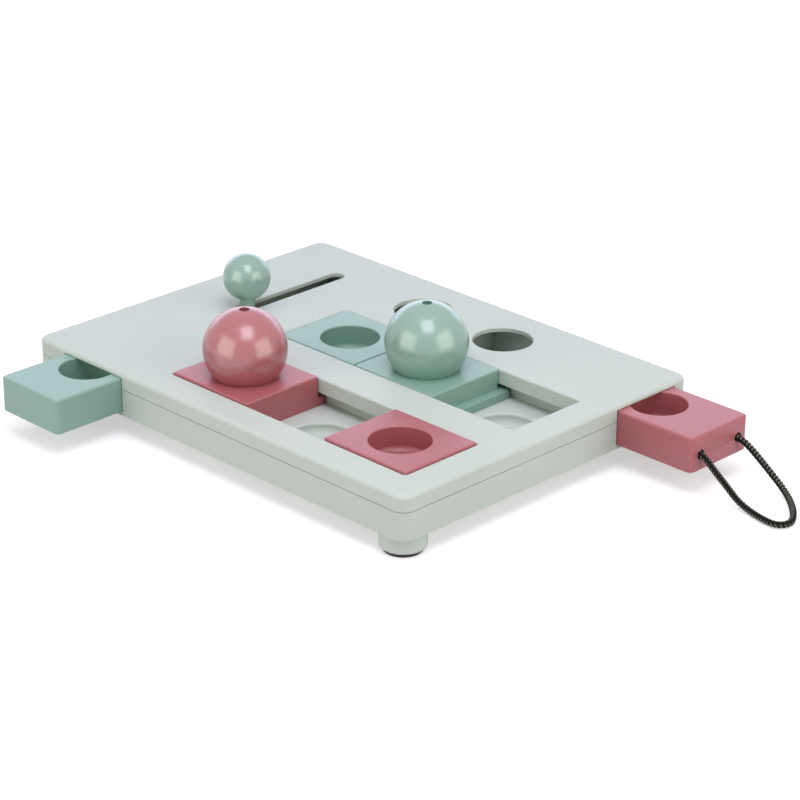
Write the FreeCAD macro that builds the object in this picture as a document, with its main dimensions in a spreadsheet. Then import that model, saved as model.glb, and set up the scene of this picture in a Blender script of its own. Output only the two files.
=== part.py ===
import FreeCAD, Part
import math
import os
from types import SimpleNamespace

import Sketcher
from FreeCAD import Placement, Rotation, Vector

# Cat puzzle feeder: a flat white board on four rubber feet. Two open channels each hold two
# treat sliders, a drawer at the left is pushed and pulled by a ball knob that runs in a slot,
# and a drawer at the right is pulled by a loop of cord.
# X runs along the long side, Y to the rear, Z up. The origin is on the floor that the foot
# pads stand on, at the middle of the footprint, which the two open drawers reach out of on
# the right and at the front. All lengths are in millimetres.

os.makedirs("parts", exist_ok=True)
doc = FreeCAD.newDocument("cat_puzzle_feeder")

SIZES = {
    # the board
    "board_length": 250,
    "board_width": 189,
    "board_corner": 6,
    "foot_height": 10,
    "base_height": 13.4,
    "cover_height": 8.2,
    "wall": 2.2,
    "skin": 2.1,
    "floor_skin": 2,
    "top_round": 2,
    "seam_bevel": 0.2,
    "seam_gap": 0.4,
    "seam_step": 0.7,
    "rib_gap": 0.2,
    # the two channels and the troughs below them
    "channel_end_margin": 16.3,
    "channel_front_margin": 17.3,
    "channel_gap": 22.2,
    "channel_round": 1,
    "cover_wall": 2,
    "cover_wall_drop": 7.4,
    "deck_height": 7.2,
    "deck_skin": 2.2,
    "trough_reach": 5,
    "trough_corner": 2.5,
    "hollow_margin": 7.8,
    "hollow_depth": 5,
    "hollow_lip": 1.2,
    # the two round holes and the treat chambers below them
    "treat_hole_width": 29.4,
    "treat_hole_margin": 90.7,
    "treat_hole_spacing": 53.6,
    "hole_round": 0.5,
    # the knob slot
    "slot_width": 8.4,
    "slot_front_room": 12,
    "slot_travel": 72.8,
    # the drawer bays
    "knob_bay_margin": 21.6,
    "knob_bay_width": 42.2,
    "knob_bay_end": 14.5,
    "bay_strip": 6.3,
    "pull_bay_width": 40.8,
    "pull_bay_margin": 10.3,
    "pull_stop_margin": 70.3,
    "stop_rib_height": 9,
    "stop_groove_width": 8,
    "stop_groove_depth": 1.2,
    "stop_groove_start": 15.8,
    # the feet
    "foot_inset": 11.2,
    "collar_width": 21.6,
    "collar_drop": 8,
    "collar_round": 1.2,
    "pad_width": 18.2,
    "pad_seat": 1.7,
    "pad_bevel": 0.5,
    "core_width": 16,
    # the screws that hold the housing together
    "post_width": 7,
    "post_height": 8,
    "post_side_inset": 10.9,
    "post_side_reach": 45,
    "screw_shank": 2.9,
    "screw_head": 5.6,
    "screw_head_height": 2,
    "screw_bite": 7,
    "screw_play": 0.2,
    # the sliders
    "slider_play": 0.2,
    "slider_side_play": 0.2,
    "slider_lift": 0.15,
    "slider_wall": 2,
    "slider_corner": 1.1,
    "slider_round": 0.8,
    "pink_rise": 0.8,
    "flange_reach": 4.5,
    "flange_corner": 2.8,
    "flange_height": 4.3,
    "flange_round": 0.5,
    "cup_margin": 8.4,
    "cup_depth": 11.9,
    "cup_round": 0.6,
    "cup_base_round": 3,
    # where the sliders lie in their channels, from their regular places
    "pink_ball_offset": 0.6,
    "pink_cup_offset": -0.1,
    "mint_cup_offset": 0.5,
    "mint_ball_offset": 0.8,
    # the ball grips of two sliders
    "grip_width": 39.8,
    "grip_rise": 12.9,
    "grip_wall": 2.4,
    "grip_tube": 9,
    "grip_access": 5,
    "grip_seat": 9,
    "grip_boss": 8,
    "grip_screw_head": 4.4,
    "grip_screw_head_height": 1.8,
    "grip_screw_shank": 2.4,
    # both drawers
    "drawer_side_play": 0.4,
    "drawer_lift": 0.25,
    "drawer_top_gap": 0.3,
    "drawer_wall": 2.2,
    "drawer_corner": 2.5,
    "drawer_round": 1,
    "drawer_cup_width": 27,
    "drawer_cup_depth": 13.2,
    # the pull drawer and its cord
    "pull_length": 70,
    "pull_out": 43.8,
    "pull_cup_reach": 36.2,
    "stop_tab_length": 4,
    "cord_width": 3.3,
    "cord_hole_width": 4.8,
    "cord_hole_spacing": 26.5,
    "cord_hole_height": 9.8,
    "keeper_reach": 8,
    "keeper_foot": 2,
    "keeper_play": 0.1,
    "knot_width": 7.6,
    # the knob drawer and its knob
    "knob_body_length": 62,
    "knob_out": 38.6,
    "knob_cup_reach": 35.2,
    "knob_reach": 136.6,
    "tail_end": 8,
    "tail_skin": 2.5,
    "tail_rail_height": 8,
    "knob_boss_width": 12,
    "knob_boss_top_gap": 2.6,
    "stem_width": 7.8,
    "stem_seat": 5,
    "knob_width": 23.5,
    "knob_centre_height": 47.7,
    "knob_screw_head_room": 2.4,
}

# The cord's route by hand: from the knot behind one hole, down to the floor, round in a
# limp fold and up to the other hole. X and Y are taken from the middle of the pull drawer's
# front, and heights from the floor.
CORD_ROUTE = [
    (-2.6, -13.25, 19.8),
    (1.5, -13.25, 19.8),
    (7.8, -13.15, 14.6),
    (15.0, -12.45, 8.6),
    (21.6, -12.25, 3.4),
    (29.8, -13.65, 1.75),
    (38.8, -15.85, 1.75),
    (46.6, -16.25, 1.75),
    (49.9, -10.25, 1.75),
    (44.6, -1.45, 1.75),
    (36.4, 7.15, 1.75),
    (27.8, 12.95, 3.1),
    (18.1, 13.25, 9.8),
    (9.2, 13.25, 15.9),
    (2.2, 13.25, 19.8),
    (-2.6, 13.25, 19.8),
]
ARC_SHARE = 0.45

NEAR = 0.02


class Size:
    """A length as a number, together with the sheet expression that drives it."""

    def __init__(self, value, text):
        self.value = value
        self.text = text

    def merge(self, other, sign, value, swap=False):
        right = other.text if isinstance(other, Size) else repr(float(other))
        pair = (right, self.text) if swap else (self.text, right)
        return Size(value, f"({pair[0]} {sign} {pair[1]})")

    def __add__(self, other):
        return self.merge(other, "+", self.value + number(other))

    def __radd__(self, other):
        return self.merge(other, "+", number(other) + self.value, swap=True)

    def __sub__(self, other):
        return self.merge(other, "-", self.value - number(other))

    def __rsub__(self, other):
        return self.merge(other, "-", number(other) - self.value, swap=True)

    def __mul__(self, other):
        return self.merge(other, "*", self.value * number(other))

    def __rmul__(self, other):
        return self.merge(other, "*", number(other) * self.value, swap=True)

    def __truediv__(self, other):
        return self.merge(other, "/", self.value / number(other))

    def __neg__(self):
        return Size(-self.value, f"(0 - {self.text})")


def number(size):
    return size.value if isinstance(size, Size) else float(size)


sheet = doc.addObject("Spreadsheet::Sheet", "Sizes")
for row, (alias, length) in enumerate(SIZES.items(), start=1):
    sheet.set(f"A{row}", alias)
    sheet.set(f"B{row}", str(length))
    sheet.setAlias(f"B{row}", alias)
doc.recompute()
S = SimpleNamespace(**{alias: Size(float(length), f"Sizes.{alias}") for alias, length in SIZES.items()})


def bind(item, path, size):
    """Drive one property of a document object from the sheet."""
    if isinstance(size, Size):
        item.setExpression(path, size.text)
    else:
        item.setExpression(path, repr(float(size)))


# Levels, from the floor up
base_low = S.foot_height
floor_top = base_low + S.floor_skin
deck_top = base_low + S.deck_height
seam = base_low + S.base_height
board_top = seam + S.cover_height
cover_under = board_top - S.skin
rib_top = cover_under - S.rib_gap
cover_wall_low = board_top - S.cover_wall_drop
post_top = base_low + S.post_height

# The board's outline, outside and inside its wall
right = (S.board_length - S.pull_out) / 2
left = right - S.board_length
rear = (S.board_width + S.knob_out) / 2
front = rear - S.board_width
middle_y = (front + rear) / 2
inner_right = right - S.wall
inner_left = left + S.wall
inner_rear = rear - S.wall
inner_front = front + S.wall

# The bays of the two drawers
knob_bay_left = left + S.knob_bay_margin
knob_bay_right = knob_bay_left + S.knob_bay_width
knob_bay_middle = (knob_bay_left + knob_bay_right) / 2
knob_bay_end = rear - S.knob_bay_end
pull_bay_high = rear - S.pull_bay_margin
pull_bay_low = pull_bay_high - S.pull_bay_width
pull_bay_middle = (pull_bay_low + pull_bay_high) / 2
pull_stop = right - S.pull_stop_margin

# The channels take the room that the bays, the strips and the margins leave
channel_left = knob_bay_right + S.wall + S.bay_strip + S.wall + S.trough_reach
channel_right = right - S.channel_end_margin
slider_pitch = (channel_right - channel_left) / 3
front_low = front + S.channel_front_margin
rear_high = pull_bay_low - S.wall - S.trough_reach
channel_width = (rear_high - front_low - S.channel_gap) / 2
front_high = front_low + channel_width
rear_low = rear_high - channel_width
front_middle = (front_low + front_high) / 2
rear_middle = (rear_low + rear_high) / 2
channels = [(front_low, front_high, front_middle), (rear_low, rear_high, rear_middle)]
hollow_width = channel_width - 2 * S.hollow_margin
cup_width = channel_width - 2 * S.cup_margin


def station(count):
    """The middle of the first, second or third place in a channel."""
    return channel_left + (count - 0.5) * slider_pitch


# The round holes and the wall between their chambers
hole_right_x = right - S.treat_hole_margin
hole_left_x = hole_right_x - S.treat_hole_spacing
divider_x = (hole_left_x + hole_right_x) / 2

# The knob, and the slot that its stem runs in, as the middles of the slot's round ends
knob_front = front - S.knob_out
knob_y = knob_front + S.knob_reach
slot_front = knob_y - S.slot_front_room
slot_rear = slot_front + S.slot_travel

# Where screws hold the cover on the base: two at the left, one behind the knob bay, one
# beside the chambers' dividing wall, two in the bar between the channels, two at the front
bar_middle = (front_high + rear_low) / 2
front_strip = (inner_front + front_low - S.trough_reach - S.wall) / 2
rear_strip = (inner_rear + knob_bay_end + S.wall) / 2
post_room = S.wall / 2 + S.post_width / 2 + S.rib_gap
posts = [
    (left + S.post_side_inset, middle_y - S.post_side_reach),
    (left + S.post_side_inset, middle_y + S.post_side_reach),
    (knob_bay_middle, rear_strip),
    (divider_x + post_room, pull_bay_low + S.post_width / 2 + S.rib_gap),
    (station(1), bar_middle),
    (station(3), bar_middle),
    (station(1) + slider_pitch / 2, front_strip),
    (station(3), front_strip),
]

feet = {
    "front_left": (left + S.foot_inset, front + S.foot_inset),
    "front_right": (right - S.foot_inset, front + S.foot_inset),
    "rear_left": (left + S.foot_inset, rear - S.foot_inset),
    "rear_right": (right - S.foot_inset, rear - S.foot_inset),
}


def pin(sketch, kind, curve, point, size):
    """Hold one point of a curve at a signed distance from the sketch's origin."""
    index = sketch.addConstraint(Sketcher.Constraint(kind, -1, 1, curve, point, number(size)))
    bind(sketch, f"Constraints[{index}]", size)


def rect(x_low, x_high, y_low, y_high):
    """A rectangle to draw in a sketch."""

    def draw(sketch):
        x = (number(x_low), number(x_high))
        y = (number(y_low), number(y_high))
        corners = [(x[0], y[0]), (x[1], y[0]), (x[1], y[1]), (x[0], y[1])]
        ends = [Vector(a, b, 0) for a, b in corners]
        side = sketch.GeometryCount
        for i in range(4):
            sketch.addGeometry(Part.LineSegment(ends[i], ends[(i + 1) % 4]))
        for i in range(4):
            sketch.addConstraint(Sketcher.Constraint("Coincident", side + i, 2, side + (i + 1) % 4, 1))
        for i in (0, 2):
            sketch.addConstraint(Sketcher.Constraint("Horizontal", side + i))
            sketch.addConstraint(Sketcher.Constraint("Vertical", side + i + 1))
        pin(sketch, "DistanceX", side, 1, x_low)
        pin(sketch, "DistanceX", side, 2, x_high)
        pin(sketch, "DistanceY", side, 1, y_low)
        pin(sketch, "DistanceY", side + 2, 1, y_high)

    return draw


def rounded(x_low, x_high, y_low, y_high, radius):
    """A rectangle with round corners to draw in a sketch."""

    def draw(sketch):
        x = (number(x_low), number(x_high))
        y = (number(y_low), number(y_high))
        reach = number(radius)
        middles = [(x[1] - reach, y[0] + reach), (x[1] - reach, y[1] - reach)]
        middles += [(x[0] + reach, y[1] - reach), (x[0] + reach, y[0] + reach)]
        ways = [Vector(0, -reach, 0), Vector(reach, 0, 0), Vector(0, reach, 0), Vector(-reach, 0, 0)]
        side = sketch.GeometryCount
        for i, (a, b) in enumerate(middles):
            last, middle = Vector(*middles[i - 1], 0), Vector(a, b, 0)
            sketch.addGeometry(Part.LineSegment(last + ways[i], middle + ways[i]))
            circle = Part.Circle(middle, Vector(0, 0, 1), reach)
            turn = (i - 1) * math.pi / 2
            sketch.addGeometry(Part.ArcOfCircle(circle, turn, turn + math.pi / 2))
        for i in range(8):
            sketch.addConstraint(Sketcher.Constraint("Tangent", side + i, 2, side + (i + 1) % 8, 1))
        for i in (0, 4):
            sketch.addConstraint(Sketcher.Constraint("Horizontal", side + i))
            sketch.addConstraint(Sketcher.Constraint("Vertical", side + i + 2))
        for i in (3, 5, 7):
            sketch.addConstraint(Sketcher.Constraint("Equal", side + 1, side + i))
        index = sketch.addConstraint(Sketcher.Constraint("Radius", side + 1, reach))
        bind(sketch, f"Constraints[{index}]", radius)
        pin(sketch, "DistanceY", side, 1, y_low)
        pin(sketch, "DistanceX", side + 2, 1, x_high)
        pin(sketch, "DistanceY", side + 4, 1, y_high)
        pin(sketch, "DistanceX", side + 6, 1, x_low)

    return draw


def disc(x, y, width):
    """A circle to draw in a sketch."""

    def draw(sketch):
        middle = Vector(number(x), number(y), 0)
        curve = sketch.addGeometry(Part.Circle(middle, Vector(0, 0, 1), number(width) / 2))
        pin(sketch, "DistanceX", curve, 3, x)
        pin(sketch, "DistanceY", curve, 3, y)
        index = sketch.addConstraint(Sketcher.Constraint("Diameter", curve, number(width)))
        bind(sketch, f"Constraints[{index}]", width)

    return draw


def stadium(x, y_low, y_high, width):
    """A long hole with round ends, along Y, to draw in a sketch."""

    def draw(sketch):
        reach = number(width) / 2
        near = Vector(number(x), number(y_low), 0)
        far = Vector(number(x), number(y_high), 0)
        side = Vector(reach, 0, 0)
        up = Vector(0, 0, 1)
        low = sketch.addGeometry(Part.ArcOfCircle(Part.Circle(near, up, reach), math.pi, 2 * math.pi))
        line = sketch.addGeometry(Part.LineSegment(near + side, far + side))
        high = sketch.addGeometry(Part.ArcOfCircle(Part.Circle(far, up, reach), 0, math.pi))
        back = sketch.addGeometry(Part.LineSegment(far - side, near - side))
        for first, second in ((low, line), (line, high), (high, back), (back, low)):
            sketch.addConstraint(Sketcher.Constraint("Tangent", first, 2, second, 1))
        sketch.addConstraint(Sketcher.Constraint("Equal", low, high))
        for curve, y in ((low, y_low), (high, y_high)):
            pin(sketch, "DistanceX", curve, 3, x)
            pin(sketch, "DistanceY", curve, 3, y)
        index = sketch.addConstraint(Sketcher.Constraint("Diameter", low, number(width)))
        bind(sketch, f"Constraints[{index}]", width)

    return draw


class Moulding:
    """A moulded piece: outlines in plan that are padded up or cut away, and rounded edges."""

    def __init__(self, name):
        self.body = doc.addObject("PartDesign::Body", name)
        self.body.Label = name
        planes = self.body.Origin.OriginFeatures
        self.plan = next(plane for plane in planes if plane.Role == "XY_Plane")
        self.side = next(plane for plane in planes if plane.Role == "YZ_Plane")

    def volume(self):
        return self.body.Shape.Volume if self.body.Tip else 0

    def outline(self, plane, level, shapes):
        sketch = self.body.newObject("Sketcher::SketchObject", "Outline")
        sketch.AttachmentSupport = (plane, [""])
        sketch.MapMode = "FlatFace"
        sketch.AttachmentOffset = Placement(Vector(0, 0, number(level)), Rotation())
        bind(sketch, "AttachmentOffset.Base.z", level)
        for draw in shapes:
            draw(sketch)
        return sketch

    def step(self, kind, plane, level, shapes, length):
        before = self.volume()
        sketch = self.outline(plane, level, shapes)
        feature = self.body.newObject(kind, kind.split("::")[1])
        feature.Profile = sketch
        bind(feature, "Length", length)
        sketch.Visibility = False
        doc.recompute()
        change = self.volume() - before
        if (change > 0) != (kind == "PartDesign::Pad"):
            raise ValueError(f"{self.body.Label}: {feature.Name} changed the volume by {change:.1f}")
        return feature

    def grow(self, shapes, low, high):
        """Add the outlines as prisms between two heights."""
        return self.step("PartDesign::Pad", self.plan, low, shapes, high - low)

    def cut(self, shapes, low, high):
        """Take the outlines away between two heights."""
        return self.step("PartDesign::Pocket", self.plan, high, shapes, high - low)

    def cut_along_x(self, shapes, low, high):
        """Take outlines drawn in Y and Z away between two places along X."""
        return self.step("PartDesign::Pocket", self.side, high, shapes, high - low)

    def edges(self, *tests):
        names = []
        for index, edge in enumerate(self.body.Shape.Edges, start=1):
            if any(test(edge) for test in tests):
                names.append(f"Edge{index}")
        if not names:
            raise ValueError(f"{self.body.Label}: no edge to round")
        return names

    def soften(self, radius, *tests, kind="Fillet"):
        """Round or bevel the edges that pass one of the tests."""
        names = self.edges(*tests)
        base = self.body.Tip
        feature = self.body.newObject(f"PartDesign::{kind}", kind)
        feature.Base = (base, names)
        bind(feature, "Radius" if kind == "Fillet" else "Size", radius)
        doc.recompute()
        return feature


def upright(x_values, y_values):
    """Edges that stand along Z at any pair of the given places."""
    places = [(number(x), number(y)) for x in x_values for y in y_values]

    def test(edge):
        ends = edge.discretize(3)
        return any(
            all(abs(p.x - x) < NEAR and abs(p.y - y) < NEAR for p in ends) for x, y in places
        )

    return test


def level_edges(z, x_low, x_high, y_low, y_high):
    """Edges that lie level at a height, inside a rectangle or along its sides."""
    z = number(z)
    x = (number(x_low) - NEAR, number(x_high) + NEAR)
    y = (number(y_low) - NEAR, number(y_high) + NEAR)

    def test(edge):
        points = edge.discretize(7)
        return all(
            abs(p.z - z) < NEAR and x[0] < p.x < x[1] and y[0] < p.y < y[1] for p in points
        )

    return test


def ring_edges(z, x, y, width):
    """The level circle of a given width about an upright axis."""
    z, x, y, reach = number(z), number(x), number(y), number(width) / 2

    def test(edge):
        points = edge.discretize(7)
        return all(
            abs(p.z - z) < NEAR and abs(math.hypot(p.x - x, p.y - y) - reach) < NEAR for p in points
        )

    return test


def make_base_tray():
    """The lower moulding: floor, stepped channel decks, chambers, bays, posts and foot collars."""
    tray = Moulding("base_tray")
    tray.grow([rect(left, right, front, rear)], base_low, seam)
    tray.soften(S.board_corner, upright((left, right), (front, rear)))
    tray.soften(S.seam_bevel, level_edges(seam, left, right, front, rear), kind="Chamfer")
    tray.cut([rect(inner_left, inner_right, inner_front, inner_rear)], floor_top, seam)
    tray.soften(
        S.board_corner - S.wall, upright((inner_left, inner_right), (inner_front, inner_rear))
    )

    # Trough blocks, then the troughs in which the sliders' flanges run
    trough_left = channel_left - S.trough_reach
    trough_right = channel_right + S.trough_reach
    troughs = []
    blocks = []
    for low, high, _ in channels:
        y_low, y_high = low - S.trough_reach, high + S.trough_reach
        troughs.append((trough_left, trough_right, y_low, y_high))
        blocks.append(rect(trough_left - S.wall, trough_right + S.wall, y_low - S.wall, y_high + S.wall))
    tray.grow(blocks, floor_top - S.floor_skin / 2, rib_top)
    tray.cut([rect(*trough) for trough in troughs], deck_top, rib_top)
    for trough in troughs:
        tray.soften(S.trough_corner, upright(trough[:2], trough[2:]))

    # The decks are stepped up from the floor, so the underside is open between the hollows
    under = []
    hollows = [(station(count), middle) for _, _, middle in channels for count in (1, 2, 3)]
    for x_low, x_high, y_low, y_high in troughs:
        under.append(rect(x_low, x_high, y_low, y_high))
    under += [disc(x, y, hollow_width + 2 * S.deck_skin) for x, y in hollows]
    tray.cut(under, base_low, deck_top - S.deck_skin)
    tray.cut([disc(x, y, hollow_width) for x, y in hollows], deck_top - S.hollow_depth, deck_top)
    tray.soften(S.hollow_lip, *[ring_edges(deck_top, x, y, hollow_width) for x, y in hollows])
    tray.soften(
        S.cup_base_round,
        *[ring_edges(deck_top - S.hollow_depth, x, y, hollow_width) for x, y in hollows],
    )

    # Walls of the knob bay, the pull bay and the two treat chambers
    far = pull_bay_high + S.wall
    walls = [
        (knob_bay_left - S.wall, knob_bay_left, inner_front, knob_bay_end + S.wall, rib_top),
        (knob_bay_right, knob_bay_right + S.wall, inner_front, far, rib_top),
        (knob_bay_left, knob_bay_right, knob_bay_end, knob_bay_end + S.wall, rib_top),
        (knob_bay_right, inner_right, pull_bay_low - S.wall, pull_bay_low, rib_top),
        (knob_bay_right, inner_right, pull_bay_high, far, rib_top),
        (divider_x - S.wall / 2, divider_x + S.wall / 2, pull_bay_low, pull_bay_high, rib_top),
        (pull_stop - S.wall, pull_stop, pull_bay_low, pull_bay_high, floor_top + S.stop_rib_height),
    ]
    for x_low, x_high, y_low, y_high, top in walls:
        tray.grow([rect(x_low, x_high, y_low, y_high)], floor_top, top)

    # The drawers' mouths, and the groove that stops the pull drawer
    tray.cut([rect(knob_bay_left, knob_bay_right, front - S.wall, inner_front)], floor_top, seam)
    tray.cut([rect(inner_right, right + S.wall, pull_bay_low, pull_bay_high)], floor_top, seam)
    groove = S.stop_groove_width / 2
    tray.cut(
        [rect(pull_stop, right - S.stop_groove_start, pull_bay_middle - groove, pull_bay_middle + groove)],
        floor_top - S.stop_groove_depth,
        floor_top,
    )

    # Screw posts, bored from below for the heads and the shanks
    head = S.screw_head + 3 * S.screw_play
    shank = S.screw_shank + 2 * S.screw_play
    head_top = base_low + S.screw_head_height + S.floor_skin
    tray.grow([disc(x, y, S.post_width + 2 * S.screw_play) for x, y in posts], floor_top, post_top)
    tray.cut([disc(x, y, head) for x, y in posts], base_low, head_top)
    tray.cut([disc(x, y, shank) for x, y in posts], base_low, post_top)

    # Foot collars with a seat for each pad, cored from above
    collar_low = base_low - S.collar_drop
    places = list(feet.values())
    tray.grow([disc(x, y, S.collar_width) for x, y in places], collar_low, base_low)
    tray.soften(S.collar_round, *[ring_edges(collar_low, x, y, S.collar_width) for x, y in places])
    tray.cut([disc(x, y, S.pad_width) for x, y in places], collar_low, collar_low + S.pad_seat)
    tray.cut(
        [disc(x, y, S.core_width) for x, y in places],
        collar_low + S.pad_seat + S.floor_skin,
        floor_top,
    )
    return tray.body


def make_top_cover():
    """The upper moulding: a thin skin with an outer wall and a wall round each channel."""
    cover = Moulding("top_cover")
    cover.grow([rect(left, right, front, rear)], seam, board_top)
    cover.soften(S.board_corner, upright((left, right), (front, rear)))
    cover.soften(S.top_round, level_edges(board_top, left, right, front, rear))
    cover.cut([rect(inner_left, inner_right, inner_front, inner_rear)], seam, cover_under)
    cover.soften(
        S.board_corner - S.wall, upright((inner_left, inner_right), (inner_front, inner_rear))
    )

    # Bosses for the screws, from below the skin down to the tray's posts
    cover.grow([disc(x, y, S.post_width) for x, y in posts], post_top, cover_under + S.skin / 2)
    bite = post_top + S.screw_bite
    cover.cut([disc(x, y, S.screw_shank + S.screw_play / 2) for x, y in posts], post_top, bite)

    # The walls round the channels, then the channels themselves
    outer = []
    inner = []
    for low, high, _ in channels:
        edge = S.cover_wall
        outer.append(rect(channel_left - edge, channel_right + edge, low - edge, high + edge))
        inner.append(rect(channel_left, channel_right, low, high))
    cover.grow(outer, cover_wall_low, cover_under + S.skin / 2)
    cover.cut(inner, cover_wall_low, board_top)
    corner = S.slider_corner + S.slider_side_play
    for low, high, _ in channels:
        cover.soften(corner, upright((channel_left, channel_right), (low, high)))
        cover.soften(
            S.channel_round, level_edges(board_top, channel_left, channel_right, low, high)
        )

    # Two round holes over the treat chambers and the slot for the knob's stem
    holes = [(x, pull_bay_middle) for x in (hole_left_x, hole_right_x)]
    cover.cut([disc(x, y, S.treat_hole_width) for x, y in holes], cover_under, board_top)
    cover.soften(S.hole_round, *[ring_edges(board_top, x, y, S.treat_hole_width) for x, y in holes])
    cover.cut([stadium(knob_bay_middle, slot_front, slot_rear, S.slot_width)], cover_under, board_top)
    reach = S.slot_width / 2
    slot_x = (knob_bay_middle - reach, knob_bay_middle + reach)
    slot_y = (slot_front - reach, slot_rear + reach)
    cover.soften(S.hole_round, level_edges(board_top, *slot_x, *slot_y))

    # The upper part of the drawers' mouths
    cover.cut([rect(knob_bay_left, knob_bay_right, front - S.wall, inner_front)], seam, cover_under)
    cover.cut([rect(inner_right, right + S.wall, pull_bay_low, pull_bay_high)], seam, cover_under)

    # The wall stands back at its foot, so that the seam is a fine groove all round the board
    around = rect(left - S.wall, right + S.wall, front - S.wall, rear + S.wall)
    back_x = (left + S.seam_step, right - S.seam_step)
    back_y = (front + S.seam_step, rear - S.seam_step)
    foot = rounded(*back_x, *back_y, S.board_corner - S.seam_step)
    cover.cut([around, foot], seam, seam + S.seam_gap)
    return cover.body


def place(item, x, y, z, turn=None):
    """Put a finished piece at its place on the board."""
    item.Placement = Placement(Vector(number(x), number(y), number(z)), turn or Rotation())
    bind(item, "Placement.Base.x", x)
    bind(item, "Placement.Base.y", y)
    bind(item, "Placement.Base.z", z)


# Every slider is the same block with flanges that run under the cover. Its own origin is at
# the middle of its underside.
block_length = slider_pitch - S.slider_play
block_width = channel_width - 2 * S.slider_side_play
block_height = board_top - deck_top - S.slider_lift
slider_low = deck_top + S.slider_lift


def make_slider(name, x, y, end, kind, rise=0):
    """A slider with a flange at one end, and a treat cup or a boss for a ball grip."""
    slider = Moulding(name)
    top = block_height + rise
    half_x, half_y = block_length / 2, block_width / 2
    slider.grow([rect(-half_x, half_x, -half_y, half_y)], 0, top)
    slider.soften(S.slider_corner, upright((-half_x, half_x), (-half_y, half_y)))
    slider.soften(S.slider_round, level_edges(top, -half_x, half_x, -half_y, half_y))

    # The flange plate ends level with the block at the end that meets the next slider
    x_low = -half_x - S.flange_reach if end < 0 else -half_x
    x_high = half_x + S.flange_reach if end > 0 else half_x
    x_step = x_low if end < 0 else x_high
    y_reach = half_y + S.flange_reach
    slider.grow([rect(x_low, x_high, -y_reach, y_reach)], 0, S.flange_height)
    slider.soften(S.flange_corner, upright((x_step,), (-y_reach, y_reach)))
    slider.soften(
        S.flange_round,
        level_edges(S.flange_height, x_step, x_step, -y_reach, y_reach),
        level_edges(S.flange_height, x_low, x_high, -y_reach, -y_reach),
        level_edges(S.flange_height, x_low, x_high, y_reach, y_reach),
    )

    # The underside is open, with a rim that is one wall thick
    room_x, room_y = half_x - S.slider_wall, half_y - S.slider_wall
    hollow = [rect(-room_x, room_x, -room_y, room_y)]
    if kind == "cup":
        hollow.append(disc(0, 0, cup_width + 2 * S.slider_wall))
    else:
        hollow.append(disc(0, 0, S.grip_boss))
    slider.cut(hollow, 0, top - S.slider_wall)
    if kind == "cup":
        floor = top - S.cup_depth
        slider.cut([disc(0, 0, cup_width)], floor, top)
        slider.soften(S.cup_round, ring_edges(top, 0, 0, cup_width))
        slider.soften(S.cup_base_round, ring_edges(floor, 0, 0, cup_width))
    else:
        bore = S.grip_screw_shank + S.screw_play / 2
        slider.cut([disc(0, 0, bore)], S.slider_wall / 2, top)
    place(slider.body, x, y, slider_low)
    return slider.body


def primitive(kind, name, **sizes):
    """A plain solid whose sizes are bound to the sheet."""
    item = doc.addObject(f"Part::{kind}", name)
    for path, size in sizes.items():
        bind(item, path, size)
    return item


def combine(kind, name, first, others):
    """A boolean of plain solids: a fusion, or the first with the others cut away."""
    if kind == "Fuse":
        item = doc.addObject("Part::MultiFuse", name)
        item.Shapes = [first] + others
        return item
    if len(others) > 1:
        others = [combine("Fuse", name + "_tools", others[0], others[1:])]
    item = doc.addObject("Part::Cut", name)
    item.Base = first
    item.Tool = others[0]
    return item


def make_screw(name, head, head_height, shank, length):
    """A screw that points up from the middle of its head's underside, along +Z."""
    cap = primitive("Cylinder", name + "_head", Radius=head / 2, Height=head_height)
    tip = shank
    body = primitive("Cylinder", name + "_shank", Radius=shank / 2, Height=length - tip)
    place(body, 0, 0, head_height)
    point = primitive("Cone", name + "_tip", Radius1=shank / 2, Radius2=shank / 6, Height=tip)
    place(point, 0, 0, head_height + length - tip)
    return combine("Fuse", name, cap, [body, point])


def make_grip(name, x, y, rise=0):
    """A hollow ball, cut flat where it sits on its slider, with a tube for the screw inside."""
    radius = S.grip_width / 2
    ball = primitive("Sphere", name + "_ball", Radius=radius)
    room = primitive("Sphere", name + "_room", Radius=radius - S.grip_wall)
    shell = combine("Cut", name + "_shell", ball, [room])
    height = S.grip_rise + radius - S.grip_wall
    tube = primitive("Cylinder", name + "_tube", Radius=S.grip_tube / 2, Height=height)
    place(tube, 0, 0, -S.grip_rise)
    whole = combine("Fuse", name + "_whole", shell, [tube])
    access = primitive("Cylinder", name + "_access", Radius=S.grip_access / 2, Height=2 * radius)
    place(access, 0, 0, S.grip_seat - S.grip_rise)
    loose = S.grip_screw_shank / 2 + S.screw_play
    bore = primitive("Cylinder", name + "_bore", Radius=loose, Height=4 * radius)
    place(bore, 0, 0, -2 * radius)
    below = primitive("Box", name + "_below", Length=4 * radius, Width=4 * radius, Height=radius)
    place(below, -2 * radius, -2 * radius, -S.grip_rise - radius)
    grip = combine("Cut", name, whole, [access, bore, below])
    grip.Label = name
    place(grip, x, y, board_top + rise + S.grip_rise)
    return grip


def make_grip_screw(name, x, y, rise=0):
    """The screw that holds a ball grip, put in through the hole on top of the ball."""
    length = S.grip_seat + block_height + rise - 2 * S.slider_wall
    screw = make_screw(name, S.grip_screw_head, S.grip_screw_head_height, S.grip_screw_shank, length)
    screw.Label = name
    top = board_top + rise + S.grip_seat + S.grip_screw_head_height
    place(screw, x, y, top, Rotation(Vector(1, 0, 0), 180))
    return screw


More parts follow.
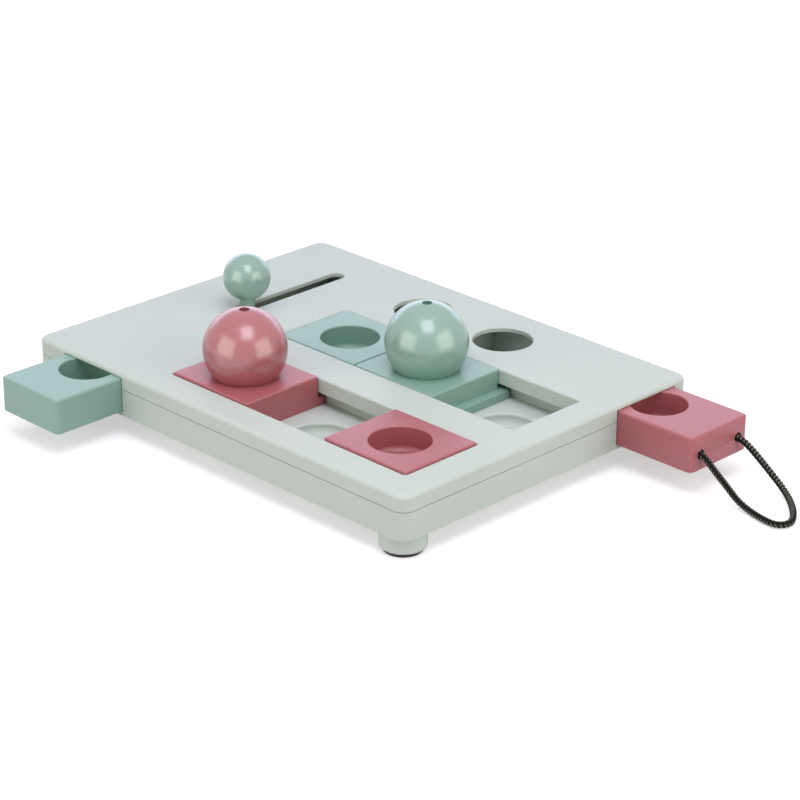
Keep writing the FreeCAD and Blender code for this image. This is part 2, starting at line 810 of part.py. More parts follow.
# The drawers' own origins are at the middle of the front face's lower edge. The pull drawer
# opens along +X and the knob drawer along -Y.
drawer_low = floor_top + S.drawer_lift
drawer_height = cover_under - S.drawer_top_gap - drawer_low
pull_front = right + S.pull_out
hole_level = S.cord_hole_height - S.drawer_lift - S.floor_skin
knob_screw_seat = S.knob_screw_head_room + S.screw_head_height
stem_low = cover_under - S.knob_boss_top_gap - S.stem_seat


def cord_holes():
    """The outlines of the two holes for the cord, in the plane of the drawer's front."""
    reach = S.cord_hole_spacing / 2
    return [disc(y, hole_level, S.cord_hole_width) for y in (-reach, reach)]


def make_pull_drawer():
    """The drawer pulled by the cord: an open-bottomed moulding with one treat cup."""
    drawer = Moulding("pull_drawer")
    half = S.pull_bay_width / 2 - S.drawer_side_play
    end = -S.pull_length
    drawer.grow([rect(end, 0, -half, half)], 0, drawer_height)
    drawer.soften(S.drawer_corner, upright((end, 0), (-half, half)))
    drawer.soften(S.drawer_round, level_edges(drawer_height, end, 0, -half, half))
    cup_x = -S.pull_cup_reach
    skin = S.drawer_wall
    drawer.cut(
        [
            rect(end + skin, -skin, -half + skin, half - skin),
            disc(cup_x, 0, S.drawer_cup_width + 2 * skin),
        ],
        0,
        drawer_height - skin,
    )
    floor = drawer_height - S.drawer_cup_depth
    drawer.cut([disc(cup_x, 0, S.drawer_cup_width)], floor, drawer_height)
    drawer.soften(S.cup_round, ring_edges(drawer_height, cup_x, 0, S.drawer_cup_width))
    drawer.soften(S.cup_base_round, ring_edges(floor, cup_x, 0, S.drawer_cup_width))

    # The stop tab below the rear wall runs in the groove of the tray's floor
    tab = S.stop_groove_width / 2 - S.drawer_side_play
    drawer.grow(
        [rect(end, end + S.stop_tab_length, -tab, tab)],
        -S.stop_groove_depth,
        S.drawer_wall,
    )

    # The notch for the keeper and the two cord holes, half in the notch's upper corners
    reach = S.cord_hole_spacing / 2
    drawer.cut([rect(-skin, skin, -reach, reach)], 0, hole_level)
    drawer.cut_along_x(cord_holes(), -2 * skin, skin)
    place(drawer.body, pull_front, pull_bay_middle, drawer_low)
    return drawer.body


def make_cord_keeper():
    """The insert that closes the notch between the cord holes and backs it with a foot."""
    keeper = Moulding("cord_keeper")
    reach = S.cord_hole_spacing / 2 - S.keeper_play
    top = hole_level - S.keeper_play
    skin = S.drawer_wall
    keeper.grow([rect(-skin, 0, -reach, reach)], 0, top)
    keeper.grow([rect(-skin - S.keeper_reach, -skin, -reach, reach)], 0, S.keeper_foot)
    keeper.cut_along_x(cord_holes(), -2 * skin, skin)
    place(keeper.body, pull_front, pull_bay_middle, drawer_low)
    return keeper.body


def make_knob_drawer():
    """The drawer pushed by the knob: a moulding with one treat cup and a long tail."""
    drawer = Moulding("knob_drawer")
    half = S.knob_bay_width / 2 - S.drawer_side_play
    skin = S.drawer_wall
    body_end = S.knob_body_length
    tail_end = S.knob_reach + S.tail_end
    drawer.grow([rect(-half, half, 0, body_end)], 0, drawer_height)
    drawer.soften(S.drawer_corner, upright((-half, half), (0, body_end)))
    drawer.soften(S.drawer_round, level_edges(drawer_height, -half, half, 0, body_end))
    drawer.cut(
        [
            rect(-half + skin, half - skin, skin, body_end - skin),
            disc(0, S.knob_cup_reach, S.drawer_cup_width + 2 * skin),
        ],
        0,
        drawer_height - skin,
    )
    floor = drawer_height - S.drawer_cup_depth
    drawer.cut([disc(0, S.knob_cup_reach, S.drawer_cup_width)], floor, drawer_height)
    drawer.soften(S.cup_round, ring_edges(drawer_height, 0, S.knob_cup_reach, S.drawer_cup_width))
    drawer.soften(S.cup_base_round, ring_edges(floor, 0, S.knob_cup_reach, S.drawer_cup_width))

    # The tail: a plate with a rail along each side, and a boss under the knob
    start = body_end - skin
    drawer.grow([rect(-half, half, start, tail_end)], 0, S.tail_skin)
    rails = [rect(-half, -half + skin, start, tail_end), rect(half - skin, half, start, tail_end)]
    drawer.grow(rails, 0, S.tail_rail_height)
    boss_top = drawer_height + S.drawer_top_gap - S.knob_boss_top_gap
    drawer.grow([disc(0, S.knob_reach, S.knob_boss_width)], 0, boss_top)
    socket = boss_top - S.stem_seat
    drawer.cut([disc(0, S.knob_reach, S.stem_width + S.screw_play)], socket, boss_top)
    drawer.cut([disc(0, S.knob_reach, S.screw_head + 2 * S.screw_play)], 0, knob_screw_seat)
    drawer.cut([disc(0, S.knob_reach, S.screw_shank + 2 * S.screw_play)], 0, socket)
    place(drawer.body, knob_bay_middle, knob_front, drawer_low)
    return drawer.body


def make_ball_knob():
    """The knob: a ball and its stem in one, with a pilot bore for the screw from below."""
    ball = primitive("Sphere", "ball_knob_ball", Radius=S.knob_width / 2)
    rise = S.knob_centre_height - stem_low
    stem = primitive("Cylinder", "ball_knob_stem", Radius=S.stem_width / 2, Height=rise)
    place(stem, 0, 0, -rise)
    whole = combine("Fuse", "ball_knob_whole", ball, [stem])
    tight = S.screw_shank / 2 + S.screw_play / 4
    bore = primitive("Cylinder", "ball_knob_bore", Radius=tight, Height=rise)
    place(bore, 0, 0, -rise - S.screw_play)
    knob = combine("Cut", "ball_knob", whole, [bore])
    knob.Label = "ball_knob"
    place(knob, knob_bay_middle, knob_y, S.knob_centre_height)
    return knob


def make_knob_screw():
    """The screw that joins the knob to the drawer's tail, from below."""
    seat = drawer_low + knob_screw_seat
    length = stem_low - seat + 2 * S.screw_bite
    screw = make_screw("knob_screw", S.screw_head, S.screw_head_height, S.screw_shank, length)
    screw.Label = "knob_screw"
    place(screw, knob_bay_middle, knob_y, seat - S.screw_head_height)
    return screw


def make_housing_screws():
    """Eight like screws that come up through the tray into the cover's bosses."""
    head_low = base_low + S.floor_skin
    length = post_top + S.screw_bite - S.screw_play - head_low - S.screw_head_height
    screws = []
    for index, (x, y) in enumerate(posts, start=1):
        screw = make_screw(
            f"housing_screw_{index}", S.screw_head, S.screw_head_height, S.screw_shank, length
        )
        place(screw, x, y, head_low)
        screws.append(screw)
    group = doc.addObject("Part::Compound", "housing_screws")
    group.Links = screws
    group.Label = "housing_screws"
    return group


def make_foot_pad(name, x, y):
    """A round rubber pad that is set into a foot collar, with a bevelled lower edge."""
    height = base_low - S.collar_drop + S.pad_seat
    pad = primitive("Cylinder", name + "_blank", Radius=S.pad_width / 2, Height=height)
    bevelled = doc.addObject("Part::Chamfer", name)
    doc.recompute()
    lowest = [
        index
        for index, edge in enumerate(pad.Shape.Edges, start=1)
        if ring_edges(0, 0, 0, S.pad_width)(edge)
    ]
    bevelled.Base = pad
    bevelled.Edges = [(index, S.pad_bevel.value, S.pad_bevel.value) for index in lowest]
    bevelled.Label = name
    place(bevelled, x, y, 0)
    return bevelled


cord_points = [Vector(*point) + Vector(pull_front.value, pull_bay_middle.value, 0) for point in CORD_ROUTE]


def cord_path(points):
    """Straight runs joined by tangent arcs, each as large as its two runs allow."""
    edges = []
    start = points[0]
    for before, corner, after in zip(points, points[1:], points[2:]):
        back, ahead = before - corner, after - corner
        turn = math.pi - back.getAngle(ahead)
        trim = ARC_SHARE * min(back.Length, ahead.Length)
        radius = trim / math.tan(turn / 2)
        print(f"cord arc radius {radius:.1f}, turn {math.degrees(turn):.0f} degrees")
        enter = corner + back.normalize() * trim
        leave = corner + ahead.normalize() * trim
        inward = (back + ahead).normalize()
        middle = corner + inward * (math.hypot(radius, trim) - radius)
        edges.append(Part.LineSegment(start, enter).toShape())
        edges.append(Part.Arc(enter, middle, leave).toShape())
        start = leave
    edges.append(Part.LineSegment(start, points[-1]).toShape())
    return Part.Wire(edges)


def make_pull_cord():
    """The limp braided cord, as a plain tube along its route."""
    path = cord_path(cord_points)
    start = cord_points[0]
    ahead = (cord_points[1] - start).normalize()
    ring = Part.Wire([Part.Circle(start, ahead, S.cord_width.value / 2).toShape()])
    tube = path.makePipeShell([ring], True, True)
    expected = math.pi * (S.cord_width.value / 2) ** 2 * path.Length
    print(f"cord length {path.Length:.1f}, volume over section times length {tube.Volume / expected:.4f}")
    cord = doc.addObject("Part::Feature", "pull_cord")
    cord.Shape = tube
    cord.Label = "pull_cord"
    return cord


def make_cord_knots():
    """The two stopper knots behind the drawer's front wall, flat where the cord leaves them."""
    knots = []
    inward = Vector(-1, 0, 0)
    reach = S.knot_width.value / 2
    slope = math.acos(S.cord_width.value / S.knot_width.value)
    for end in (cord_points[0], cord_points[-1]):
        middle = end + inward * reach * math.sin(slope)
        knots.append(Part.makeSphere(reach, middle, inward, -math.degrees(slope), 90))
    group = doc.addObject("Part::Feature", "cord_knots")
    group.Shape = Part.makeCompound(knots)
    group.Label = "cord_knots"
    return group


pink_ball_x = station(1) + S.pink_ball_offset
pink_cup_x = station(3) + S.pink_cup_offset
mint_cup_x = station(1) + S.mint_cup_offset
mint_ball_x = station(2) + S.mint_ball_offset

pieces = [make_top_cover(), make_base_tray(), make_housing_screws()]
pieces += [make_foot_pad(f"foot_pad_{name}", x, y) for name, (x, y) in feet.items()]
pieces += [
    make_slider("pink_ball_slider", pink_ball_x, front_middle, -1, "grip", S.pink_rise),
    make_grip("pink_ball_grip", pink_ball_x, front_middle, S.pink_rise),
    make_grip_screw("pink_grip_screw", pink_ball_x, front_middle, S.pink_rise),
    make_slider("pink_cup_slider", pink_cup_x, front_middle, 1, "cup", S.pink_rise),
    make_slider("mint_cup_slider", mint_cup_x, rear_middle, -1, "cup"),
    make_slider("mint_ball_slider", mint_ball_x, rear_middle, 1, "grip"),
    make_grip("mint_ball_grip", mint_ball_x, rear_middle),
    make_grip_screw("mint_grip_screw", mint_ball_x, rear_middle),
    make_pull_drawer(),
    make_cord_keeper(),
    make_pull_cord(),
    make_cord_knots(),
    make_knob_drawer(),
    make_ball_knob(),
    make_knob_screw(),
]
doc.recompute()

for item in doc.Objects:
    if "Invalid" in item.State or "Error" in item.State:
        raise ValueError(f"{item.Name} failed: {item.State}")
for piece in pieces:
    shape = piece.Shape
    if shape.isNull() or not shape.isValid():
        raise ValueError(f"{piece.Label} has no valid shape")
    box = shape.BoundBox
    print(
        f"{piece.Label}: {len(shape.Solids)} solid(s), {shape.Volume / 1000:.2f} cm3, "
        f"x {box.XMin:.1f} to {box.XMax:.1f}, y {box.YMin:.1f} to {box.YMax:.1f}, "
        f"z {box.ZMin:.1f} to {box.ZMax:.1f}"
    )
for piece in pieces:
    piece.Shape.exportStep(f"parts/{piece.Label}.step")
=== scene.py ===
import math

import bmesh
import bpy
from bpy.props import FloatProperty, FloatVectorProperty, IntProperty, PointerProperty
from mathutils import Matrix, Vector


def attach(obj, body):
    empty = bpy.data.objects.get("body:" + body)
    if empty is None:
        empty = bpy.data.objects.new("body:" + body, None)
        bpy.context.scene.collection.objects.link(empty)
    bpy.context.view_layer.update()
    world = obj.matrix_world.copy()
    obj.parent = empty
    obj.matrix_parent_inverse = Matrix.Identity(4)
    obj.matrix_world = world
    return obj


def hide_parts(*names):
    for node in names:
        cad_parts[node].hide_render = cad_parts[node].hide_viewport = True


bl_info = {
    "name": "Cat puzzle feeder",
    "version": (1, 0, 0),
    "blender": (4, 5, 0),
    "location": "View3D > Sidebar > Feeder",
    "description": "Dresses the cat puzzle feeder: satin plastic, ball grips, braided cord and a studio",
    "category": "Object",
}

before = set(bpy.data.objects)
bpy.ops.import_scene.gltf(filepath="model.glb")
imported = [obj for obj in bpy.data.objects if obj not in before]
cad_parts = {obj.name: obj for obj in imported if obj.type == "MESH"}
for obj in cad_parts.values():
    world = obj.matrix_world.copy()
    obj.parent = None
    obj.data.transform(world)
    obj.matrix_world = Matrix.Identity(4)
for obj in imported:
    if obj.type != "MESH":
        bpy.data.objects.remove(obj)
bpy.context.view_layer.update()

MM = 0.001

# Control points of the cord's route in the row frame, in metres, from one knot round to the other
CORD_ROUTE = [
    (0.1443, 0.06985, 0.0198),
    (0.1484, 0.06985, 0.0198),
    (0.1547, 0.06995, 0.0146),
    (0.1619, 0.07065, 0.0086),
    (0.1685, 0.07085, 0.0034),
    (0.1767, 0.06945, 0.00175),
    (0.1857, 0.06725, 0.00175),
    (0.1935, 0.06685, 0.00175),
    (0.1968, 0.07285, 0.00175),
    (0.1915, 0.08165, 0.00175),
    (0.1833, 0.09025, 0.00175),
    (0.1747, 0.09605, 0.0031),
    (0.1650, 0.09635, 0.0098),
    (0.1561, 0.09635, 0.0159),
    (0.1491, 0.09635, 0.0198),
    (0.1443, 0.09635, 0.0198),
]


def linear_light(level):
    """A display value of 0 to 255 as linear light. Up to 10 the sRGB curve is a straight line."""
    if level <= 10:
        return level / 255 / 12.92
    return ((level / 255 + 0.055) / 1.055) ** 2.4


def from_srgb(red, green, blue):
    """A colour as linear light, from its 0 to 255 display values."""
    return tuple(linear_light(level) for level in (red, green, blue))


# Sizes and colours


class FeederColours(bpy.types.PropertyGroup):
    """Colours of the mouldings, the rubber and the cord."""

    white: FloatVectorProperty(
        name="White plastic",
        description="Cover and tray",
        subtype="COLOR",
        default=from_srgb(187, 197, 188),
    )
    mint: FloatVectorProperty(
        name="Mint plastic",
        description="Knob drawer, its knob, and the sliders and grip of the rear channel",
        subtype="COLOR",
        default=from_srgb(129, 163, 149),
    )
    pink: FloatVectorProperty(
        name="Pink plastic",
        description="Pull drawer, its cord keeper, and the sliders and grip of the front channel",
        subtype="COLOR",
        default=from_srgb(164, 92, 97),
    )
    rubber: FloatVectorProperty(
        name="Rubber",
        description="Foot pads",
        subtype="COLOR",
        default=from_srgb(30, 30, 30),
    )
    yarn: FloatVectorProperty(
        name="Yarn",
        description="Braided cord and its knots",
        subtype="COLOR",
        default=from_srgb(22, 22, 19),
    )
    zinc: FloatVectorProperty(
        name="Zinc",
        description="Plated screws",
        subtype="COLOR",
        default=from_srgb(196, 196, 190),
    )


class FeederSurface(bpy.types.PropertyGroup):
    """How fine, deep and glossy the moulded surface is."""

    shell: FloatProperty(
        name="Shell roughness",
        description="Roughness of the cover and tray",
        subtype="FACTOR",
        min=0,
        max=1,
        default=0.6,
    )
    slider: FloatProperty(
        name="Slider roughness",
        description="Roughness of the sliders, the drawers and the cord keeper",
        subtype="FACTOR",
        min=0,
        max=1,
        default=0.36,
    )
    ball: FloatProperty(
        name="Ball roughness",
        description="Roughness of the polished grips and knob",
        subtype="FACTOR",
        min=0,
        max=1,
        default=0.22,
    )
    grain: FloatProperty(
        name="Grain",
        description="Width of the etched grain",
        unit="LENGTH",
        default=0.45 * MM,
    )
    grain_depth: FloatProperty(
        name="Grain depth",
        description="Depth of the etched grain",
        unit="LENGTH",
        default=0.0015 * MM,
    )
    wave: FloatProperty(
        name="Wave",
        description="Height of the slow waves of a moulded face",
        unit="LENGTH",
        default=0.03 * MM,
    )


class FeederCord(bpy.types.PropertyGroup):
    """Sizes of the braided cord."""

    width: FloatProperty(
        name="Width",
        description="Thickness of the cord",
        unit="LENGTH",
        default=3.3 * MM,
    )
    carriers: IntProperty(
        name="Strands",
        description="Strands that wind each way round",
        default=6,
    )
    strand: FloatProperty(
        name="Strand width",
        description="Width of one flat strand",
        unit="LENGTH",
        default=0.92 * MM,
    )
    strand_depth: FloatProperty(
        name="Strand thickness",
        description="Thickness of one flat strand",
        unit="LENGTH",
        default=0.6 * MM,
    )
    lay: FloatProperty(
        name="Lay",
        description="Length along the cord of one turn of a strand",
        unit="LENGTH",
        default=10.8 * MM,
    )


class FeederStage(bpy.types.PropertyGroup):
    """The camera, the lamps and the floor."""

    azimuth: FloatProperty(
        name="Azimuth",
        description="Camera's angle round the board",
        subtype="ANGLE",
        default=math.radians(44.93),
    )
    elevation: FloatProperty(
        name="Elevation",
        description="Camera's angle above the floor",
        subtype="ANGLE",
        default=math.radians(23.91),
    )
    roll: FloatProperty(
        name="Roll",
        description="Camera's turn about its own line of sight",
        subtype="ANGLE",
        default=math.radians(0.34),
    )
    distance: FloatProperty(
        name="Distance",
        description="From the camera to the point that it looks at",
        unit="LENGTH",
        default=1.3199,
    )
    lens: FloatProperty(
        name="Lens",
        description="Focal length in millimetres on a 36 mm sensor",
        default=124.29,
    )
    side_lamps: FloatProperty(
        name="Side lamps",
        description="Power of each of the two softboxes beside the camera, in watts",
        default=3.45,
    )
    top_lamp: FloatProperty(
        name="Top lamp",
        description="Power of the softbox above the camera, in watts",
        default=3.2,
    )
    rear_card: FloatProperty(
        name="Rear card",
        description="Power of the wide cool card behind the board, in watts",
        default=6.8,
    )
    fill: FloatProperty(
        name="Fill",
        description="Power of the wide soft panel above the board, in watts",
        default=10.8,
    )
    surround: FloatProperty(
        name="Surround",
        description="Strength of the surroundings as light",
        default=0.22,
    )
    floor: FloatVectorProperty(
        name="Floor",
        description="Colour of the floor",
        subtype="COLOR",
        default=(0.65, 0.65, 0.65),
    )


# Shader building


class Socket:
    """An output of a shader node. Arithmetic on it adds the Math nodes that it needs."""

    def __init__(self, finish, link):
        self.finish = finish
        self.link = link

    def math(self, operation, first, second):
        return self.finish.node("ShaderNodeMath", {"operation": operation}, {0: first, 1: second})

    def __add__(self, other):
        return self.math("ADD", self, other)

    def __radd__(self, other):
        return self.math("ADD", other, self)

    def __sub__(self, other):
        return self.math("SUBTRACT", self, other)

    def __mul__(self, other):
        return self.math("MULTIPLY", self, other)

    def __rmul__(self, other):
        return self.math("MULTIPLY", other, self)


class Finish:
    """The nodes of a material or of the surroundings, under construction."""

    def __init__(self, owner):
        owner.use_nodes = True
        self.owner = owner
        self.tree = owner.node_tree
        self.tree.nodes.clear()

    def node(self, kind, settings=None, sockets=None, output=0):
        """Add a node, set it up, then fill its sockets with values or other nodes' outputs."""
        made = self.tree.nodes.new(kind)
        for name, value in (settings or {}).items():
            setattr(made, name, value)
        for name, value in (sockets or {}).items():
            if isinstance(value, Socket):
                self.tree.links.new(value.link, made.inputs[name])
            else:
                made.inputs[name].default_value = value
        return Socket(self, made.outputs[output]) if made.outputs else None

    def noise(self, width, detail, shift=(0, 0, 0)):
        """Noise whose spots are about one width across, placed in the piece's own axes."""
        places = self.node("ShaderNodeTexCoord", output="Object")
        moved = self.node("ShaderNodeMapping", None, {"Vector": places, "Location": shift})
        sockets = {"Vector": moved, "Scale": 1 / width, "Detail": detail}
        return self.node("ShaderNodeTexNoise", None, sockets)

    def blend(self, factor, first, second):
        """A mix of two colours."""
        return self.node("ShaderNodeMix", {"data_type": "RGBA"}, {0: factor, 6: first, 7: second}, output=2)

    def clamp(self, value, low, high):
        """A value's part between two limits, as 0 to 1."""
        return self.node("ShaderNodeMapRange", None, {"Value": value, "From Min": low, "From Max": high})

    def relief(self, height, depth, below=None):
        """Bump from a height of 0 to 1, depth metres high."""
        sockets = {"Height": height, "Distance": depth, "Strength": 1.0}
        if below:
            sockets["Normal"] = below
        return self.node("ShaderNodeBump", None, sockets)

    def surface(self, **sockets):
        """The principled shader, joined to the material's output."""
        names = {name.replace("_", " "): value for name, value in sockets.items()}
        shader = self.node("ShaderNodeBsdfPrincipled", None, names)
        self.node("ShaderNodeOutputMaterial", None, {"Surface": shader})


def new_finish(name):
    """A new material, ready for its nodes."""
    return Finish(bpy.data.materials.new(name))


def shade(colour, factor):
    """A colour made lighter or darker, with alpha."""
    return (*[min(1, c * factor) for c in colour], 1)


# Finishes

# Widths of the slow changes of moulded plastic in tone, gloss and height
CLOUD_WIDTH = 60 * MM
RUB_WIDTH = 16 * MM
SWELL_WIDTH = 45 * MM

PLASTIC_IOR = 1.53
POLISH_IOR = 1.87
RUBBER_IOR = 1.5
YARN_IOR = 1.6

# How far the yarn stands out is 0 to 1. Its tone goes from dark at CROWN_START to a painted highlight at
# CROWN_END.
YARN_SHADE = 0.5
CROWN_HIGHLIGHT = 22
CROWN_START = 0.35
CROWN_END = 0.85


def moulded_plastic(name, colour, roughness, surface, seed, polish):
    """Moulded plastic: a fine etched grain, slow waves, and places dulled by handling.

    A polish of 1 is a coat that reflects in place of the plastic, and 0 is none.
    """
    finish = new_finish(name)
    shift = (seed, 2 * seed, 3 * seed)
    cloud = finish.noise(CLOUD_WIDTH, 3, shift)
    tone = finish.blend(finish.clamp(cloud, 0.3, 0.7), shade(colour, 0.98), shade(colour, 1.02))
    rubs = finish.noise(RUB_WIDTH, 3, shift)
    grain = finish.noise(surface.grain, 1, shift)
    swell = finish.relief(finish.noise(SWELL_WIDTH, 1, shift), surface.wave)
    finish.surface(
        Base_Color=tone,
        Roughness=roughness + 0.06 * (rubs - 0.5) + 0.04 * (cloud - 0.5),
        Normal=finish.relief(grain, surface.grain_depth, swell),
        Coat_Weight=polish,
        Coat_Roughness=surface.ball,
        Coat_IOR=POLISH_IOR,
        IOR=PLASTIC_IOR,
        Specular_IOR_Level=0.5 * (1 - polish),
    )


def foot_rubber(name, colour):
    """Soft rubber with a dull, slightly dusty skin."""
    finish = new_finish(name)
    dust = finish.noise(3 * MM, 4)
    skin = finish.noise(0.3 * MM, 2)
    dusty = finish.clamp(dust, 0.45, 0.75) * 0.5
    finish.surface(
        Base_Color=finish.blend(dusty, shade(colour, 1), shade(colour, 2.2)),
        Roughness=0.72 + 0.15 * (dust - 0.5),
        Normal=finish.relief(skin, 0.02 * MM),
        IOR=RUBBER_IOR,
    )


def braid_yarn(name, colour):
    """Dull black yarn of fine filaments, with a highlight painted on the crowns of its strands."""
    finish = new_finish(name)
    fibre = finish.noise(0.12 * MM, 3)
    patch = finish.noise(4 * MM, 2)
    crown = finish.node("ShaderNodeAttribute", {"attribute_name": "crown"}, output="Fac")
    # a highlight painted lighter where the strands stand out, its strength varying in patches
    crown_highlight = finish.clamp(crown, CROWN_START, CROWN_END) * (0.8 + 0.5 * (patch - 0.5))
    finish.surface(
        Base_Color=finish.blend(crown_highlight, shade(colour, YARN_SHADE), shade(colour, CROWN_HIGHLIGHT)),
        Roughness=0.8 + 0.2 * (fibre - 0.5),
        Specular_IOR_Level=0.15,
        Normal=finish.relief(fibre, 0.03 * MM),
        IOR=YARN_IOR,
    )


def zinc_plate(name, colour):
    """Zinc-plated steel, a little cloudy."""
    finish = new_finish(name)
    cloud = finish.noise(1.5 * MM, 3)
    finish.surface(
        Base_Color=finish.blend(cloud, shade(colour, 0.8), shade(colour, 1.05)),
        Metallic=1.0,
        Roughness=0.3 + 0.2 * (cloud - 0.5),
        Normal=finish.relief(finish.noise(0.2 * MM, 2), 0.004 * MM),
    )


def make_finishes():
    """Make every finish of the feeder. The pieces find them by name."""
    scene = bpy.context.scene
    colours, surface = scene.feeder_colours, scene.feeder_surface
    foot_rubber("foot_rubber", colours.rubber)
    braid_yarn("braid_yarn", colours.yarn)
    zinc_plate("zinc_plate", colours.zinc)
    moulded_plastic("white_satin", colours.white, surface.shell, surface, 0.13, 0.0)
    for name, colour, seed in (("mint", colours.mint, 0.37), ("pink", colours.pink, 0.71)):
        moulded_plastic(f"{name}_satin", colour, surface.slider, surface, seed, 0.0)
        moulded_plastic(f"{name}_polished", colour, surface.ball, surface, seed, 1.0)


# The finish of each material slot of the record, unless a piece asks for another
SLOT_FINISH = {
    "white_plastic": "white_satin",
    "mint_plastic": "mint_satin",
    "pink_plastic": "pink_satin",
    "black_rubber": "foot_rubber",
    "black_cord": "braid_yarn",
    "steel": "zinc_plate",
}


# Pieces


def dress(piece, slot, finish=None):
    """Give a piece the finish of a slot of the record, or one that it names."""
    piece.data.materials.clear()
    piece.data.materials.append(bpy.data.materials[finish or SLOT_FINISH[slot]])


def keep(node, slot, finish=None):
    """Show a CAD solid as it is, with a finish of its own."""
    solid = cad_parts[node]
    dress(solid, slot, finish)
    return solid


def new_piece(name, mesh, body, slot, *nodes):
    """Link a finished mesh as a piece that rides on a body and stands for CAD solids."""
    piece = bpy.data.objects.new(name, mesh)
    bpy.context.scene.collection.objects.link(piece)
    dress(piece, slot)
    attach(piece, body)
    if nodes:
        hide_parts(*nodes)
    return piece


# Operators


class FEEDER_OT_make_housing(bpy.types.Operator):
    """The white cover and tray and the screws that hold them together"""

    bl_idname = "feeder.make_housing"
    bl_label = "Make housing"

    def execute(self, context):
        keep("top_cover", "white_plastic")
        keep("base_tray", "white_plastic")
        keep("housing_screws", "steel")
        return {"FINISHED"}


class FEEDER_OT_make_feet(bpy.types.Operator):
    """The four rubber foot pads"""

    bl_idname = "feeder.make_feet"
    bl_label = "Make feet"

    def execute(self, context):
        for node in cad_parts:
            if node.startswith("foot_pad_"):
                keep(node, "black_rubber")
        return {"FINISHED"}


class FEEDER_OT_make_sliders(bpy.types.Operator):
    """The four treat sliders"""

    bl_idname = "feeder.make_sliders"
    bl_label = "Make sliders"

    def execute(self, context):
        keep("pink_ball_slider", "pink_plastic")
        keep("pink_cup_slider", "pink_plastic")
        keep("mint_ball_slider", "mint_plastic")
        keep("mint_cup_slider", "mint_plastic")
        return {"FINISHED"}


class FEEDER_OT_make_grips(bpy.types.Operator):
    """The two ball grips and their screws"""

    bl_idname = "feeder.make_grips"
    bl_label = "Make ball grips"

    def execute(self, context):
        for colour in ("pink", "mint"):
            keep(f"{colour}_ball_grip", f"{colour}_plastic", f"{colour}_polished")
            keep(f"{colour}_grip_screw", "steel")
        return {"FINISHED"}


class FEEDER_OT_make_drawers(bpy.types.Operator):
    """The two drawers and the insert that keeps the cord"""

    bl_idname = "feeder.make_drawers"
    bl_label = "Make drawers"

    def execute(self, context):
        keep("pull_drawer", "pink_plastic")
        keep("cord_keeper", "pink_plastic")
        keep("knob_drawer", "mint_plastic")
        return {"FINISHED"}


class FEEDER_OT_make_knob(bpy.types.Operator):
    """The ball knob that drives the mint drawer, and its screw"""

    bl_idname = "feeder.make_knob"
    bl_label = "Make ball knob"

    def execute(self, context):
        keep("ball_knob", "mint_plastic", "mint_polished")
        keep("knob_screw", "steel")
        return {"FINISHED"}


def route_points():
    """The cord's centre line, read from a spline whose control points are the route."""
    curve = bpy.data.curves.new("cord_line", "CURVE")
    curve.dimensions = "3D"
    curve.resolution_u = 24
    spline = curve.splines.new("NURBS")
    spline.points.add(len(CORD_ROUTE) - 1)
    for point, place in zip(spline.points, CORD_ROUTE):
        point.co = (*place, 1)
    spline.order_u = 3
    spline.use_endpoint_u = True
    line = bpy.data.objects.new("cord_line", curve)
    points = [vertex.co.copy() for vertex in bpy.data.meshes.new_from_object(line).vertices]
    bpy.data.objects.remove(line)
    return points


def resample(points, step):
    """Points an even distance apart along a line, ends included."""
    reach = [0.0]
    for a, b in zip(points, points[1:]):
        reach.append(reach[-1] + (b - a).length)
    count = max(2, round(reach[-1] / step))
    even = []
    k = 0
    for i in range(count + 1):
        want = reach[-1] * i / count
        while k < len(points) - 2 and reach[k + 1] < want:
            k += 1
        span = reach[k + 1] - reach[k]
        even.append(points[k].lerp(points[k + 1], (want - reach[k]) / span))
    return even


def direction_at(points, i):
    """The way that a line runs at one of its points, from the points beside it."""
    return (points[min(i + 1, len(points) - 1)] - points[max(i - 1, 0)]).normalized()


def frames_along(points):
    """Two directions across a line at each of its points, carried along without twist."""
    side = direction_at(points, 0).orthogonal().normalized()
    frames = []
    for i in range(len(points)):
        along = direction_at(points, i)
        side = (side - along * side.dot(along)).normalized()
        frames.append((side, along.cross(side)))
    return frames


def add_tube(work, centres, ups, width, depth, sides, crowns=None):
    """A flat tube through centres, its thin way along ups, closed at both ends.

    Crowns say how far each ring stands out, for the highlight painted on the yarn there.
    """
    crown = work.verts.layers.float["crown"]
    rings = []
    for i, (centre, up) in enumerate(zip(centres, ups)):
        across = direction_at(centres, i).cross(up).normalized()
        ring = []
        for k in range(sides):
            angle = 2 * math.pi * k / sides
            level = across * (math.cos(angle) * width / 2)
            vertex = work.verts.new(centre + level + up * (math.sin(angle) * depth / 2))
            if crowns:
                vertex[crown] = crowns[i] * max(0, math.sin(angle))
            ring.append(vertex)
        rings.append(ring)
    for low, high in zip(rings, rings[1:]):
        for k in range(sides):
            n = (k + 1) % sides
            work.faces.new([low[k], low[n], high[n], high[k]])
    work.faces.new(rings[0][::-1])
    work.faces.new(rings[-1])


RINGS_PER_CROSSING = 2.5
STRAND_LIFT = 0.34  # rise and fall of a strand, as a part of its thickness
STRAND_PRESS = 1.5  # above 1 it flattens the top and the bottom of a strand's wave
STRAND_SIDES = 8
CORE_SIDES = 12


